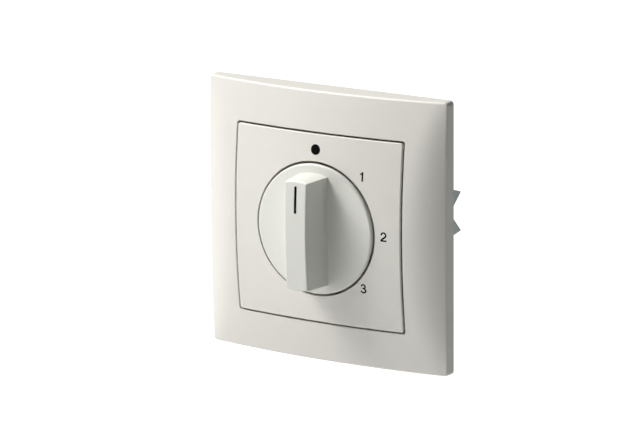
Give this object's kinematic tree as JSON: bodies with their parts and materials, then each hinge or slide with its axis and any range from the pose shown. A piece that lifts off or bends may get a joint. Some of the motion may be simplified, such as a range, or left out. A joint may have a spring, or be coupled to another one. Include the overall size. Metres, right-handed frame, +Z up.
{
  "type": "fan speed control switch",
  "caption": "Flush mounted rotary fan speed switch: square domed frame and plate, bar knob turning through off and stepped speeds, spreader claws and rear screw terminals.",
  "frame": {"origin": "on the knob's axis in the wall plane, where the backs of the cover frame and the support plate lie", "axes": "+X to the right seen from the front, +Y into the wall, +Z up"},
  "size_m": [0.081, 0.051, 0.081],
  "materials": {
    "cover_plastic": "satin warm white moulding",
    "zinc_plated_steel": "zinc plated sheet and screws",
    "base_plastic": "matt grey moulding",
    "turned_brass": "turned",
    "contact_brass": "rolled strip",
    "spring_bronze": "rolled spring bronze",
    "marking_ink": "black pad printing"
  },
  "bodies": {
    "insert": {"cover_frame": "cover_plastic", "centre_plate": "cover_plastic", "plate_nut": "turned_brass", "lock_washer": "zinc_plated_steel", "support_plate": "zinc_plated_steel", "bearing_bush": "turned_brass", "switch_base": "base_plastic", "base_cover": "base_plastic", "base_screws": "zinc_plated_steel", "detent_spring": "zinc_plated_steel", "contact_spring_1": "spring_bronze", "contact_spring_2": "spring_bronze", "contact_spring_3": "spring_bronze", "fixed_contact_1": "contact_brass", "fixed_contact_2": "contact_brass", "fixed_contact_3": "contact_brass", "common_ring": "contact_brass", "wire_clamps": "zinc_plated_steel", "terminal_screws": "zinc_plated_steel", "claw_pins": "zinc_plated_steel"},
    "knob": {"knob": "cover_plastic", "knob_spring": "zinc_plated_steel", "spindle": "turned_brass", "cam_rotor": "base_plastic"},
    "claw_left": {"claw_left": "zinc_plated_steel"},
    "claw_right": {"claw_right": "zinc_plated_steel"},
    "claw_screw_left": {"claw_screw_left": "zinc_plated_steel"},
    "claw_screw_right": {"claw_screw_right": "zinc_plated_steel"}
  },
  "joints": [
    {"name": "knob_turn", "type": "hinge", "parent": "insert", "child": "knob", "pos_m": [0, 0, 0], "axis": [0, 1, 0], "range_deg": [0, 135], "deforming": ["detent_spring", "contact_spring_1", "contact_spring_2", "contact_spring_3"]},
    {"name": "claw_screw_right_turn", "type": "hinge", "parent": "insert", "child": "claw_screw_right", "pos_m": [0.0212, 0, 0], "axis": [0, 1, 0], "range_deg": [0, 720]},
    {"name": "claw_screw_left_turn", "type": "hinge", "parent": "insert", "child": "claw_screw_left", "pos_m": [-0.0212, 0, 0], "axis": [0, 1, 0], "range_deg": [0, 720]},
    {"name": "claw_right_swing", "type": "hinge", "parent": "insert", "child": "claw_right", "pos_m": [0.0255, 0.0034, 0], "axis": [0, 0, -1], "range_deg": [0, 12]},
    {"name": "claw_left_swing", "type": "hinge", "parent": "insert", "child": "claw_left", "pos_m": [-0.0255, 0.0034, 0], "axis": [0, 0, 1], "range_deg": [0, 12]}
  ],
  "couplings": [
    {"joint": "claw_right_swing", "follows": "claw_screw_right_turn", "ratio": 0.016667},
    {"joint": "claw_left_swing", "follows": "claw_screw_left_turn", "ratio": 0.016667}
  ]
}
